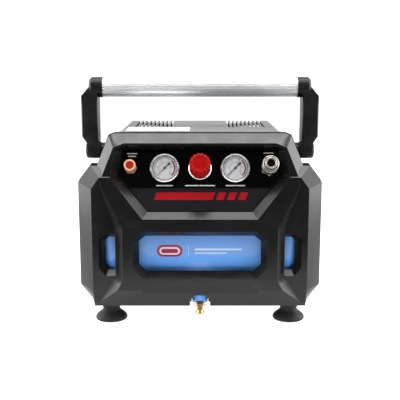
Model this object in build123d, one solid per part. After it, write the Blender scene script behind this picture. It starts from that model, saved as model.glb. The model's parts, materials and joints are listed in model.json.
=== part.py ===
"""Portable oil-free air compressor: a six-litre tank, a direct-drive piston pump and a control panel in a
moulded housing, with a folding carrying handle. Millimetres, +Z up, the panel faces -Y, and the origin is on
the floor under the middle of the object.
"""

from build123d import *
import math
import os

# ---------------------------------------------------------------- driving dimensions
BODY_HALF_WIDTH = 179.5
BODY_BOTTOM = 28.0
FRONT_Y = -160.0            # the foremost moulded face
WING_Y = -146.0             # the side panels of the front shell lie this much further back
WING_EDGE_Y = -124.0        # where the chamfer round the side panels ends
PARTING_Y = -104.0          # back edge of the front shell
REAR_Y = 150.0
WALL = 3.0
BELT_Z = 161.0              # above this the front leans back
LEAN = 14.0                 # of the frame round the control panel, degrees
PANEL_LEAN = 22.0           # of the control panel itself
PANEL_FOOT = (0, -150.0, 173.7)
PANEL_THICK = 2.0
ROW_UP = 63.0               # the row of instruments, up the panel from its foot
GAUGE_X = 51.5
FITTING_X = 101.0           # safety valve on the left, coupler on the right

TANK_R = 81.0
TANK_WALL = 2.5
TANK_Y, TANK_Z = -52.0, 122.0
TANK_STRAIGHT = 132.0       # half length of the rolled barrel
TANK_DOME = 24.0

PIVOT_Z = 244.0
TUBE_Z = 344.2
TUBE_R = 15.0
TUBE_WALL = 1.6
TUBE_HALF = 160.0
ARM_IN, ARM_OUT = 162.0, 187.5
HUB_R = 13.4

FOOT_X, FOOT_FRONT_Y, FOOT_REAR_Y = 135.0, -115.0, 106.0
FOOT_R = 24.0

MOTOR_Y, MOTOR_Z = 86.0, 118.0
CRANK_X = -49.0
THROW = 6.0
PISTON_R = 20.0
BORE_R = PISTON_R + THROW + 0.5
DECK_Z = 214.0              # top of the cylinder
FLANGE_Z = 166.0            # top of the crankcase
HEAD_R = 34.0               # of the cylinder's fins and head

RUN = 0.06                  # radial clearance of a running fit
GAP = 0.4                   # gap between separate mouldings

# ---------------------------------------------------------------- shape helpers


def front_plane(y):
    """A plane facing -Y whose local x and y are X and Z."""
    return Plane(origin=(0, y, 0), x_dir=(1, 0, 0), z_dir=(0, -1, 0))


def leaning_plane(origin, degrees):
    """A front plane that leans back; its local y runs up the slope."""
    a = math.radians(degrees)
    return Plane(origin=origin, x_dir=(1, 0, 0), z_dir=(0, -math.cos(a), math.sin(a)))


UPPER = leaning_plane((0, FRONT_Y, BELT_Z), LEAN)
PANEL = leaning_plane(PANEL_FOOT, PANEL_LEAN)


def wire_on(plane, points, z=0.0):
    return Wire.make_polygon([plane.from_local_coords((x, y, z)) for x, y in points], close=True)


def slab(plane, points, z0, z1):
    """A polygon on a plane, extruded from height z0 to z1 above it."""
    face = Face(wire_on(plane, points, z0))
    return Solid.extrude(face, plane.z_dir * (z1 - z0))


def frustum(plane, points_a, z_a, points_b, z_b):
    return Solid.make_loft([wire_on(plane, points_a, z_a), wire_on(plane, points_b, z_b)], ruled=True)


def across(points, x0, x1):
    """A side profile of (y, z) points, extruded from x0 to x1."""
    wire = Wire.make_polygon([(x0, y, z) for y, z in points], close=True)
    return Solid.extrude(Face(wire), Vector(x1 - x0, 0, 0))


def block(x0, x1, y0, y1, z0, z1):
    return Pos((x0 + x1) / 2, (y0 + y1) / 2, (z0 + z1) / 2) * Box(x1 - x0, y1 - y0, z1 - z0)


def rod(start, end, radius):
    """A cylinder from one point to another."""
    a, b = Vector(*start), Vector(*end)
    plane = Plane(origin=a, z_dir=(b - a))
    return Solid.make_cylinder(radius, (b - a).length, plane)


def along_x(x0, x1, radius, y, z):
    return rod((x0, y, z), (x1, y, z), radius)


def upright(x, y, z0, z1, radius):
    return rod((x, y, z0), (x, y, z1), radius)


def hexagon(across_flats, z0, z1, x=0.0, y=0.0):
    """A hexagonal bar on local Z."""
    shape = extrude(RegularPolygon(across_flats / 2, 6, major_radius=False), z1 - z0)
    return Pos(x, y, z0) * shape


def disc(z0, z1, radius, x=0.0, y=0.0):
    return Pos(x, y, z0) * Cylinder(radius, z1 - z0, align=(Align.CENTER, Align.CENTER, Align.MIN))


def turned(profile, plane=Plane.XZ):
    """A body of revolution from (radius, height) points, about local Z."""
    face = make_face(Polyline(*profile, close=True))
    return revolve(plane * face, Axis.Z)


def mirrored(half):
    """The full outline from the points of its right half, listed from the bottom up."""
    return half + [(-x, y) for x, y in reversed(half)]


def grown(half, sides, top, bottom):
    """The right half of a mirrored outline with each edge moved outwards by its own distance."""
    full = mirrored(half)
    moves = list(sides) + [top] + list(reversed(sides)) + [bottom]
    lines = []
    for i, (x0, y0) in enumerate(full):
        x1, y1 = full[(i + 1) % len(full)]
        length = math.hypot(x1 - x0, y1 - y0)
        nx, ny = (y1 - y0) / length, (x0 - x1) / length
        lines.append((nx, ny, nx * x0 + ny * y0 + moves[i]))
    out = []
    for i in range(len(half)):
        (a, b, e), (c, d, f) = lines[i - 1], lines[i]
        det = a * d - b * c
        out.append(((e * d - b * f) / det, (a * f - e * c) / det))
    return out


def inset(half, t, bottom=None):
    sides = [-t] * (len(half) - 1)
    return grown(half, sides, -t, -t if bottom is None else bottom)


def whole(shape):
    """The single solid or the compound of solids in a result."""
    solids = shape.solids()
    return solids[0] if len(solids) == 1 else Compound(children=solids)


# ---------------------------------------------------------------- front shell
WING_BACK = [(158, BODY_BOTTOM), (BODY_HALF_WIDTH, 57), (BODY_HALF_WIDTH, 212), (161, 236)]
WING_FACE = [(156.3, BODY_BOTTOM), (158, 55), (158, 205), (146, 222)]
WAIST = [(140, BODY_BOTTOM), (119.5, 59.5), (112.5, 72), (112.5, 146), (115.5, BELT_Z)]
WAIST_FLARE = 11.0          # width of the sloping wall beside the waist
ROLL = [(-162, 20), (-162, 60.2), (FRONT_Y, 57), (-142, BODY_BOTTOM), (-137, 20)]        # under the front
FRAME = [(115.5, 0), (144, 50.5), (142.5, 63), (126, 106), (110.5, 112.5)]
FRAME_DEPTH = 20.0
FRAME_SIDES = [10, 10.8, 15.4, 22]
FRAME_TOP = 17.4
RECESS = [(83.5, 2), (130.5, 62), (123, 103), (109, 109.5)]              # its mouth, on the frame
PANEL_OUTLINE = [(75.5, 0), (120, 53.5), (112.6, 90.6), (111.4, 91.9)]    # its floor, on the panel's plane
WINDOW = [(83, 74.5), (98, 91), (98, 133), (83, 145)]
WINDOW_BEVEL, WINDOW_DEPTH = 8.8, 13.0
SIDE_WINDOW = [(124.5, 75), (138.5, 75), (149, 87), (149, 131), (137.5, 140), (124.5, 140)]
SIDE_OPENING = [(124.5, 83), (135.5, 83), (141, 91), (141, 126.5), (134.5, 132.5), (124.5, 132.5)]
SIDE_DEPTH = 9.0
APRON_TOP = 68.5


def frame_block(t):
    """The leaning frame round the control panel, or its inside when t is the wall."""
    crest = inset(FRAME, t, bottom=0)
    base = grown(crest, FRAME_SIDES, FRAME_TOP, 0)
    low = [(x, y - 6 if i == 0 else y) for i, (x, y) in enumerate(crest)]
    low_base = [(x, y - 6 if i == 0 else y) for i, (x, y) in enumerate(base)]
    bevel = frustum(UPPER, mirrored(low), -t, mirrored(low_base), -FRAME_DEPTH - t)
    face = Face(wire_on(UPPER, mirrored(low_base), -FRAME_DEPTH - t))
    return bevel + Solid.extrude(face, Vector(0, 60, 0))


def panel_recess(t):
    """The hollow that tapers from the frame down to the control panel, grown by the wall."""
    mouth = mirrored(grown(RECESS, [t] * 3, t, t))
    floor = mirrored(grown(PANEL_OUTLINE, [t] * 3, t, t))
    wires = [wire_on(UPPER, mouth), wire_on(PANEL, floor, -PANEL_THICK - t)]
    return Solid.make_loft(wires, ruled=True) + slab(UPPER, mouth, 0, 6)


def window_bevels(t):
    """The sloping rims of the three windows, grown by the wall."""
    centre = front_plane(FRONT_Y)
    outer = grown(WINDOW, [t] * 3, t, t)
    inner = grown(outer, [-WINDOW_BEVEL] * 3, -WINDOW_BEVEL, -WINDOW_BEVEL)
    cut = frustum(centre, mirrored(outer), 0.0, mirrored(inner), -WINDOW_DEPTH)
    cut += slab(centre, mirrored(inner), -WINDOW_DEPTH, -WINDOW_DEPTH - 0.5)
    wing = front_plane(WING_Y)
    for side in (1, -1):
        rim = frustum(wing, [(side * x, z) for x, z in spread(SIDE_WINDOW, t)], 0.0,
                      [(side * x, z) for x, z in spread(SIDE_OPENING, t)], -SIDE_DEPTH)
        rim += slab(wing, [(side * x, z) for x, z in spread(SIDE_OPENING, t)], -SIDE_DEPTH, -SIDE_DEPTH - 0.5)
        cut += rim
    return cut


def spread(points, t):
    """A side window's outline moved outwards by t, except at its straight inner edge."""
    mid = (points[2][1] + points[3][1]) / 2
    return [(x + (t if x > 125 else 0), z + (t if z > mid else -t)) for x, z in points]


def front_form(t):
    """The outer form of the front shell for t = 0, or its inside for t = WALL."""
    plane = front_plane(0)
    back, face = inset(WING_BACK, t), inset(WING_FACE, t)
    form = frustum(plane, mirrored(back), -WING_EDGE_Y, mirrored(face), -WING_Y - t)
    form += slab(plane, mirrored(back), -WING_EDGE_Y, -PARTING_Y - (20 if t else 0))
    crest = inset(WAIST, t, bottom=-t)
    base = grown(crest, [WAIST_FLARE] * 4, 0, 0)
    waist = frustum(plane, mirrored(crest), -FRONT_Y - t, mirrored(base), -WING_Y - t)
    waist += slab(plane, mirrored(base), -WING_Y - t, -WING_Y - 10 - t)
    form += waist
    form += frame_block(t)
    form -= panel_recess(t)
    form -= window_bevels(t)
    form -= apron(t)
    form -= Pos(0, t * 0.55, t) * across(ROLL, -200, 200)
    limit = PARTING_Y + (20 if t else 0)
    return form & block(-200, 200, FRONT_Y + t, limit, 0, 320)


def apron(t):
    """The shallow hollow under the middle window: it deepens downwards and has sloping ends."""
    profile = [(-170, 20), (-170, APRON_TOP + t), (FRONT_Y, APRON_TOP + t), (-157.5 + t, 55 + t),
               (-148 + t, BODY_BOTTOM - 1), (-148 + t, 20)]
    wedge = across(profile, -200, 200)
    ends = [(128 + t, 24), (120 + t, BODY_BOTTOM), (75.5 + t, APRON_TOP + t), (70, APRON_TOP + 6)]
    narrow = grown(ends, [-9] * 3, -2, 0)
    keep = frustum(front_plane(FRONT_Y), mirrored(ends), 10, mirrored(narrow), -14)
    return wedge & keep


def panel_holes(grow=0.0):
    """Round holes for the instruments, through the panel and the shell behind it."""
    cut = None
    for x, radius in ((-FITTING_X, 7.0), (-GAUGE_X, 19.9), (0, 12.4), (GAUGE_X, 19.9), (FITTING_X, 8.6)):
        hole = PANEL.location * disc(-12, 6, radius + grow, x, ROW_UP)
        cut = hole if cut is None else cut + hole
    return cut


NOTCH_HALF, NOTCH_TOP = 15.0, 47.5


def drain_notch():
    """An arched notch in the bottom edge and floor, where the drain valve hangs."""
    arch = [(NOTCH_HALF + 1, 20), (NOTCH_HALF - 1, 34), (NOTCH_HALF, 36), (12.5, 43.5), (7.5, NOTCH_TOP)]
    cut = slab(front_plane(0), mirrored(arch), 170, 128)
    cut += block(-NOTCH_HALF, NOTCH_HALF, -150, -122, 20, 40)
    return cut + block(-12.7, 12.7, -123, -108, 20, 40)


def front_shell():
    shell = front_form(0) - front_form(WALL)
    opening = grown(WINDOW, [-WINDOW_BEVEL] * 3, -WINDOW_BEVEL, -WINDOW_BEVEL)
    shell -= slab(front_plane(0), mirrored(opening), 170, 140)
    for side in (1, -1):
        hole = [(side * x, z) for x, z in SIDE_OPENING]
        shell -= slab(front_plane(0), hole, 160, 128)
    shell -= panel_holes(0.3)
    shell -= drain_notch()
    for side in (1, -1):
        shell -= upright(side * FOOT_X, FOOT_FRONT_Y, 20, 45, 4.3)
    return whole(shell)


# ---------------------------------------------------------------- rear shell, seal and cover
SEAL = 2.0
REAR_START = PARTING_Y + SEAL
REAR_OUTLINE = [(158, BODY_BOTTOM), (BODY_HALF_WIDTH, 57), (BODY_HALF_WIDTH, 203), (163, 224), (153, 224),
                (138, 266)]
COVER_TOP = 283.0
CREST_Y = 92.0
COVER_END_Y = 130.0
LEDGE_Y = 131.5             # the wall that the cover's rear edge meets
DECK_DROP = 17.0            # height of the cover above the deck it sits on


def rear_form(t):
    outline = inset(REAR_OUTLINE, t)
    form = slab(front_plane(0), mirrored(outline), -REAR_Y, -REAR_START + (t and 5))
    deck = COVER_TOP - DECK_DROP
    slope = [(-140, BODY_BOTTOM + t), (REAR_Y - 20 - t / 2, BODY_BOTTOM + t), (REAR_Y - t, 53 + t / 2),
             (REAR_Y - t, 222 - t / 2), (LEDGE_Y - t / 3, 239.5 - t), (LEDGE_Y, 222.5 - t),
             (CREST_Y + 1, deck - t), (-140, deck - t)]
    form &= across(slope, -200, 200)
    for side in (1, -1):
        corner = [(side * (BODY_HALF_WIDTH + 1 - t), REAR_Y - 22 - t / 2), (side * 250, REAR_Y - 22),
                  (side * 250, 250), (side * (157 - t), REAR_Y + 1)]
        face = Face(Wire.make_polygon([(x, y, 0) for x, y in corner], close=True))
        form -= Solid.extrude(face, Vector(0, 0, 300))
    return form


REAR_VENT_X = [-72 + 16 * i for i in range(10)]
SIDE_VENT_Y = [-40 + 14 * i for i in range(9)]
SWITCH_X, SWITCH_Z = 118.0, 150.0
GLAND_X, GLAND_Z = -118.0, 72.0
SCREW_SPOTS = [(-146, 80), (146, 80), (-146, 190), (146, 190)]
REAR_FIELD = [(80, 84), (88, 92), (88, 182), (80, 190)]          # sunk fields round the cooling slots
SIDE_FIELD = [(-54, 84), (82, 84), (101, 184), (-35, 184)]
FIELD_DEPTH = 1.2


def rear_shell():
    shell = rear_form(0) - rear_form(WALL)
    shell -= block(-118, 118, -92, 121, 205, 300)
    shell -= slab(front_plane(0), mirrored(REAR_FIELD), -REAR_Y - 5, -REAR_Y + FIELD_DEPTH)
    for x in REAR_VENT_X:
        bar = [(x - 3, 92), (x + 3, 92), (x + 3, 182), (x - 3, 182)]
        shell -= slab(front_plane(0), bar, -REAR_Y - 5, -REAR_Y + 8)
    for side in (1, -1):
        shell -= across(SIDE_FIELD, side * (BODY_HALF_WIDTH - FIELD_DEPTH), side * 190)
        for y in SIDE_VENT_Y:
            slot = [(y - 3, 92), (y + 3, 92), (y + 19, 176), (y + 13, 176)]
            shell -= across(slot, side * 170, side * 185)
        shell -= upright(side * FOOT_X, FOOT_REAR_Y, 20, 45, 4.3)
        shell -= along_x(side * 130, side * 160, 4.3, 0, PIVOT_Z)
    cutout = block(-10.2, 10.2, REAR_Y - 10, REAR_Y + 5, -14.2, 14.2)
    shell -= Pos(SWITCH_X, 0, SWITCH_Z) * cutout
    shell -= rod((GLAND_X, REAR_Y - 10, GLAND_Z), (GLAND_X, REAR_Y + 5, GLAND_Z), 8.2)
    for x, z in SCREW_SPOTS:
        shell -= rod((x, REAR_Y - 12, z), (x, REAR_Y + 5, z), 2.4)
    return whole(shell)


def parting_seal():
    """A dark rib between the two shells, standing a little proud of both."""
    outer = slab(front_plane(0), mirrored(grown(WING_BACK, [1.2] * 3, 1.2, 0)), -PARTING_Y, -REAR_START)
    upper = [(x, BELT_Z + 0.9703 * v - 4.84) for x, v in grown(FRAME, FRAME_SIDES, FRAME_TOP, 0)]
    upper = grown(upper, [1.2] * 4, 1.2, 0)
    outer += slab(front_plane(0), mirrored(upper), -PARTING_Y, -REAR_START)
    inner = slab(front_plane(0), mirrored(inset(WING_BACK, 2.8)), -PARTING_Y + 1, -REAR_START - 1)
    inner += slab(front_plane(0), mirrored(inset(upper, 5, bottom=0)), -PARTING_Y + 1, -REAR_START - 1)
    return whole(outer - inner)


SLOT_PITCH, SLOT_COUNT, SLOT_FIRST_X = 6.9, 9, 46.0
SLOT_START_Y = -20.0


def top_cover():
    deck = COVER_TOP - DECK_DROP + GAP

    def form(t):
        section = [(134 - t, 200), (134 - t, deck + 0.5), (116 - t / 2, COVER_TOP - t)]
        profile = [(REAR_START + 1 + t, deck - (t and 9)), (REAR_START + 1 + t, COVER_TOP - t),
                   (CREST_Y - t / 3, COVER_TOP - t), (COVER_END_Y - t, 240.4 - t / 4),
                   (COVER_END_Y - t, 226 - 2 * t), (CREST_Y + 1.5, deck - (t and 9))]
        return slab(front_plane(0), mirrored(section), 140, -160) & across(profile, -150, 150)

    cover = form(0) - form(2.5)
    for side in (1, -1):
        for i in range(SLOT_COUNT):
            x = side * (SLOT_FIRST_X + i * SLOT_PITCH)
            cover -= block(x - 1.6, x + 1.6, SLOT_START_Y, 112, 225, 300)
    return whole(cover)


def base_plate():
    """The steel chassis on the shells' floor; tank, motor and feet are bolted to it."""
    z0 = BODY_BOTTOM + WALL + 0.2
    plate = block(-150, 150, -121, 124, z0, z0 + 2.5)
    plate -= block(-12.7, 12.7, -130, -106, z0 - 1, z0 + 4)
    for x in (-FOOT_X, FOOT_X):
        for y in (FOOT_FRONT_Y, FOOT_REAR_Y):
            plate -= upright(x, y, z0 - 1, z0 + 4, 4.3)
    return whole(plate)


PLATE_TOP = BODY_BOTTOM + WALL + 2.7

# ---------------------------------------------------------------- panel and label
LABEL_FOOT = 34.0           # lower edge of the glossy label, up the panel
LABEL_THICK = 0.5


def control_panel():
    board = slab(PANEL, mirrored(inset(PANEL_OUTLINE, 0.4)), -PANEL_THICK + 0.05, -LABEL_THICK)
    return whole(board - panel_holes(0.3))


def panel_label():
    sheet = slab(PANEL, mirrored(inset(PANEL_OUTLINE, 0.7)), -LABEL_THICK + 0.02, 0)
    sheet &= PANEL.location * block(-200, 200, LABEL_FOOT, 200, -5, 5)
    return whole(sheet - panel_holes(0.3))


# ---------------------------------------------------------------- feet and screws


def foot(x, y):
    """A rubber suction foot with a waisted neck."""
    top = BODY_BOTTOM - 0.05
    profile = [(0, 2), (18, 2), (19.5, 0), (22.5, 0), (23.6, 1.2), (FOOT_R, 3.4), (22.2, 6.8), (18.4, 10),
               (15, 12.6), (13, 15), (12.4, 17.4), (12.4, 18.6), (13.6, 19.6), (13.6, top), (0, top)]
    shape = turned(profile) - disc(14, 40, 4.3)
    return whole(Pos(x, y, 0) * shape)


FEET = {
    "front_left_foot": (-FOOT_X, FOOT_FRONT_Y),
    "front_right_foot": (FOOT_X, FOOT_FRONT_Y),
    "rear_left_foot": (-FOOT_X, FOOT_REAR_Y),
    "rear_right_foot": (FOOT_X, FOOT_REAR_Y),
}


def foot_screws():
    """One screw up through each foot's well into the chassis."""
    found = []
    for x, y in FEET.values():
        shank = upright(x, y, 14.1, PLATE_TOP + 6, 4.0)
        nut = Pos(x, y, 0) * hexagon(13, PLATE_TOP, PLATE_TOP + 5)
        found.append(whole(shank + nut))
    return Compound(children=found)


def housing_screws():
    """Pan-head screws in the back wall."""
    found = []
    for x, z in SCREW_SPOTS:
        head = rod((x, REAR_Y + 0.02, z), (x, REAR_Y + 2.6, z), 4.4)
        shank = rod((x, REAR_Y - 16, z), (x, REAR_Y + 1, z), 2.1)
        cross = block(x - 2.6, x + 2.6, REAR_Y + 1.4, REAR_Y + 4, z - 0.5, z + 0.5)
        cross += block(x - 0.5, x + 0.5, REAR_Y + 1.4, REAR_Y + 4, z - 2.6, z + 2.6)
        found.append(whole(head + shank - cross))
    return Compound(children=found)


# ---------------------------------------------------------------- handle
FLUTES = 20


def handle_tube():
    ring = Circle(TUBE_R) - Circle(TUBE_R - TUBE_WALL)
    ring -= PolarLocations(TUBE_R + 0.35, FLUTES) * Circle(0.9)
    tube = extrude(Plane(origin=(-TUBE_HALF, 0, TUBE_Z), z_dir=(1, 0, 0)) * ring, 2 * TUBE_HALF)
    return whole(tube)


def handle_arm(side):
    """One side of the handle: a flat arm with a socket for the tube end."""
    outline = [(ARM_IN, 250), (181, 250), (181, 257.4), (ARM_OUT, 268), (ARM_OUT, 331.4), (174.4, 347),
               (170, 364), (ARM_IN, 364)]
    arm = slab(front_plane(0), [(side * x, z) for x, z in outline], -30, 30)
    profile = [(-12, 250), (12, 250), (19, 270), (19, 318), (15, 336), (9, 352), (-9, 352), (-15, 336),
               (-19, 318), (-19, 270)]
    arm &= across(profile, -200, 200)
    section = [(ARM_IN, -17.4), (ARM_IN + 1.8, -19.2), (ARM_OUT - 2, -19.2), (ARM_OUT, -17.2),
               (ARM_OUT, 17.2), (ARM_OUT - 2, 19.2), (ARM_IN + 1.8, 19.2), (ARM_IN, 17.4)]
    arm &= slab(Plane.XY, [(side * x, y) for x, y in section], 240, 370)
    collar = along_x(side * 154.5, side * 172, 16.0, 0, TUBE_Z)
    collar += Pos(side * 172, 0, TUBE_Z) * Rot(0, side * 90, 0) * Cone(16.0, 12.5, 3.5,
              align=(Align.CENTER, Align.CENTER, Align.MIN))
    arm += collar
    arm -= along_x(side * 150, side * (TUBE_HALF + 0.2), TUBE_R + 0.05, 0, TUBE_Z)
    arm -= along_x(side * 150, side * 200, HUB_R + 0.05, 0, PIVOT_Z)
    return whole(arm)


def arm_hub(side):
    """The round knuckle that each arm turns on."""
    profile = [(4 + RUN, 0), (HUB_R - 1, 0), (HUB_R, 1), (HUB_R, 20.5), (HUB_R - 1, 23), (HUB_R - 3.5, 24),
               (7.6, 24), (7.6, 19), (4 + RUN, 19)]
    shape = Rot(0, side * 90, 0) * turned(profile)
    return whole(Pos(side * 159, 0, PIVOT_Z) * shape)


def pivot_boss(side):
    """The fixed boss between the rear shell and a handle hub."""
    boss = along_x(side * 140, side * 158.7, HUB_R - 1.4, 0, PIVOT_Z)
    boss -= rear_form(0)
    boss = max(boss.solids(), key=lambda s: abs(s.center().X))
    return whole(boss - along_x(side * 130, side * 165, 4.0 + RUN, 0, PIVOT_Z))


def pivot_bolt(side):
    bolt = along_x(side * 138, side * 178.4, 4.0, 0, PIVOT_Z)
    bolt += along_x(side * 178.2, side * 182, 7.0, 0, PIVOT_Z)
    bolt -= Pos(side * 180, 0, PIVOT_Z) * (Rot(0, side * 90, 0) * hexagon(5, 0, 4))
    bolt += along_x(side * 133, side * 139, 7.0, 0, PIVOT_Z)
    return whole(bolt)


# ---------------------------------------------------------------- tank
DRAIN_LEAN = 27.8           # of the drain boss, forward from straight down
DRAIN_START = (0, -106.0, 62.0)
DRAIN_BOSS = 38.0


def drain_plane(distance):
    a = math.radians(DRAIN_LEAN)
    down = Vector(0, -math.sin(a), -math.cos(a))
    return Plane(origin=Vector(*DRAIN_START) + down * distance, x_dir=(1, 0, 0), z_dir=down)


def tank_body(shrink):
    half, dome, r = TANK_STRAIGHT, TANK_DOME - shrink, TANK_R - shrink
    end = half + dome
    right = [(r, half), (0.866 * r, half + 0.5 * dome), (0.5 * r, half + 0.866 * dome), (0, end)]
    left = [(x, -y) for x, y in reversed(right)]
    edge = Line((r, -half), (r, half)) + Spline(*right, tangents=[(0, 1), (-1, 0)])
    edge += Line((0, end), (0, -end)) + Spline(*left, tangents=[(1, 0), (0, 1)])
    body = revolve(Plane.XZ * make_face(edge), Axis.Z)
    return Pos(0, TANK_Y, TANK_Z) * (Rot(0, 90, 0) * (Rot(0, 0, 50) * body))


def tank():
    shell = tank_body(0)
    for side in (1, -1):
        shell += along_x(side * (TANK_STRAIGHT - 3), side * (TANK_STRAIGHT + 2), TANK_R + 0.9, TANK_Y, TANK_Z)
    shell += drain_plane(-12).location * disc(0, DRAIN_BOSS + 12, 11.5)
    for x in (-60, 84):
        shell += upright(x, TANK_Y, TANK_Z + 60, TANK_Z + TANK_R + 9, 11)
    shell -= tank_body(TANK_WALL)
    shell -= drain_plane(-14).location * disc(0, DRAIN_BOSS + 20, 5.2)
    for x in (-60, 84):
        shell -= upright(x, TANK_Y, TANK_Z + 60, TANK_Z + TANK_R + 12, 6.2)
    return whole(shell)


def tank_saddles():
    """Two bent steel brackets that carry the tank."""
    found = []
    for x in (-86, 86):
        web = block(x - 2, x + 2, TANK_Y - 46, TANK_Y + 46, PLATE_TOP + 0.1, 92)
        web += block(x - 2, x + 22, TANK_Y - 46, TANK_Y + 46, PLATE_TOP + 0.1, PLATE_TOP + 2.6)
        web -= along_x(x - 10, x + 30, TANK_R + 0.1, TANK_Y, TANK_Z)
        for y in (-34, 34):
            web -= upright(x + 12, TANK_Y + y, 30, 50, 3.3)
        found.extend(web.solids())
    return Compound(children=found)


def drain_valve_body():
    """The brass seat screwed into the drain boss."""
    shape = hexagon(15, 0.1, 6) + disc(-9, 0.1, 4.9) + disc(6, 11, 5.0)
    shape -= disc(-10, 7, 1.6) + disc(6.9, 12, 3.6)
    return whole(drain_plane(DRAIN_BOSS).location * shape)


def drain_valve_knob():
    """The winged outlet nut that opens the drain when it is turned."""
    shape = disc(7.2, 18.5, 3.5) + disc(11.3, 13.4, 4.4) + disc(13.4, 18.5, 5.2)
    for i in range(6):
        shape += Rot(0, 0, 60 * i) * (Pos(4.9, 0, 15.6) * Box(2.8, 2.4, 4.4))
    shape -= disc(7, 20, 1.5)
    return whole(drain_plane(DRAIN_BOSS).location * shape)


# ---------------------------------------------------------------- instruments on the panel


def on_panel(shape, x):
    """Puts a part made round local Z onto the row of instruments, pointing out of the panel."""
    return whole(PANEL.location * (Pos(x, ROW_UP, 0) * shape))


BEZEL_R = 21.5


def gauge_case():
    profile = [(0, -14), (19.4, -14), (19.4, 0.1), (BEZEL_R, 0.1), (BEZEL_R, 7.0), (BEZEL_R - 1, 8.2),
               (19.8, 8.2), (19.2, 7.4), (19.2, 7.25), (19.8, 7.25), (19.8, 5.7), (19.2, 5.7), (18.4, 2.6),
               (18.4, -11.5), (0, -11.5)]
    return turned(profile) + hexagon(12, -19, -14) + disc(-24, -19, 4.8) + disc(-12, 2.2, 1.6)


def gauge_dial():
    return disc(2.65, 3.05, 18.3) - disc(2, 4, 1.3)


NEEDLE_ZERO = 225.0         # direction of the empty mark, degrees anticlockwise from local x


def gauge_needle():
    """A slim pointer with a broad tail, lying at the empty mark."""
    blade = slab(Plane.XY, [(0, -0.55), (13.2, -0.2), (13.2, 0.2), (0, 0.55)], 3.6, 4.1)
    outline = [(0, -0.6), (0, 0.6), (-6.5, 0.8), (-8.4, 1.7), (-11.2, 1.5), (-11.2, -1.5), (-8.4, -1.7),
               (-6.5, -0.8)]
    tail = slab(Plane.XY, outline, 3.6, 4.1)
    hub = disc(3.3, 4.6, 1.9) - disc(3.2, 3.55, 1.2)
    return Rot(0, 0, NEEDLE_ZERO) * (blade + tail + hub)


def gauge_lens():
    return disc(5.8, 7.2, 19.7)


KNOB_R, KNOB_TOP, KNOB_GRIPS = 15.6, 34.4, 18


def regulator_body():
    shape = disc(-24, -2.2 - WALL, 15) + disc(-6, 4, 12) - disc(-20, 5, 6.0 + RUN)
    return shape


def regulator_ring():
    """The round locking nut between the panel and the knob."""
    return turned([(12.15, 0.1), (17.7, 0.1), (17.7, 3.6), (16.6, 4.8), (12.15, 4.8)])


def regulator_knob():
    top = KNOB_TOP
    profile = [(0, 5.3), (KNOB_R, 5.3), (KNOB_R, top - 2.9), (14.2, top - 0.8), (12.2, top), (10.6, top),
               (10, top - 0.6), (0, top - 0.6)]
    shape = turned(profile) - disc(5, 7.5, 13.2)
    for i in range(KNOB_GRIPS):
        shape -= Rot(0, 0, i * 360 / KNOB_GRIPS) * disc(7.5, top + 2, 1.5, KNOB_R + 0.6)
    return shape + disc(-12, 8, 6.0)


def safety_valve_body():
    shape = disc(-14, 0.1, 6.6) + hexagon(15, 0.1, 9) + disc(9, 23.5, 8.2) - disc(16, 24, 6.1)
    return shape - disc(8, 18, 2.3)


def safety_valve_cap():
    shape = disc(17, 24.6, 5.8) + disc(9, 17, 2.0) - disc(23.6, 25, 1.0)
    return shape


COUPLER_BORE_R = 5.6
COUPLER_TIP = 36.0
COUPLER_SEAT = 23.5


def coupler_body():
    """The fixed core of the quick coupler, with its hose-plug socket."""
    shape = disc(-14, 0.1, 8.2) + hexagon(22, 0.1, 7) + disc(7, COUPLER_TIP, 9.0)
    shape -= disc(COUPLER_SEAT, COUPLER_TIP + 1, COUPLER_BORE_R)
    shape -= disc(14, COUPLER_SEAT, 6.5)
    return shape - disc(-15, 14.5, 3.0 + RUN)


def coupler_sleeve():
    profile = [(9.0 + RUN, 11.5), (11.6, 11.5), (12.3, 12.4), (12.3, 23.4), (11.2, 24.2), (11.2, 26.2),
               (12.0, 27), (12.0, 32.6), (11.2, 33.6), (9.0 + RUN, 33.6)]
    return turned(profile)


def coupler_valve():
    """The spring-loaded stop at the bottom of the socket."""
    return disc(COUPLER_SEAT - 3.5, COUPLER_SEAT - 0.2, 6.2) + disc(-6, COUPLER_SEAT - 3.5, 3.0)


def outlet_manifold():
    """The bar behind the panel that feeds gauges, regulator and coupler."""
    bar = Pos(0, ROW_UP, -34.2) * Box(232, 20, 20)
    for x in (-FITTING_X, -GAUGE_X, 0, GAUGE_X, FITTING_X):
        top = -14.2 if abs(x) == FITTING_X else -24.2
        bar += disc(-26, top, 6.0, x, ROW_UP)
    bar -= Pos(0, ROW_UP, -34.2) * (Rot(0, 90, 0) * Cylinder(4, 240))
    return whole(PANEL.location * bar)


# ---------------------------------------------------------------- air lines on the tank


def pressure_switch():
    x, z = 84, TANK_Z + TANK_R + 9.2
    body = Pos(x, TANK_Y, z) * hexagon(22, 0, 8)
    case = block(x - 26, x + 26, TANK_Y - 22, TANK_Y + 22, z + 8, z + 45)
    case = chamfer(case.edges(), 3)
    return whole(body + case)


def check_valve():
    z = TANK_Z + TANK_R + 9.2
    body = Pos(-60, TANK_Y, z) * (hexagon(20, 0, 16) + disc(16, 20, 6.5))
    return whole(body + rod((-60, TANK_Y, z + 8), (-60, TANK_Y + 20, z + 8), 6.0))


HEAD_Z = DECK_Z + 3.2


def pipe(points, radius, bends):
    path = FilletPolyline(*points, radius=bends)
    start = Plane(origin=points[0], z_dir=Vector(*points[1]) - Vector(*points[0]))
    return sweep(start * Circle(radius), path=path)


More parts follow.
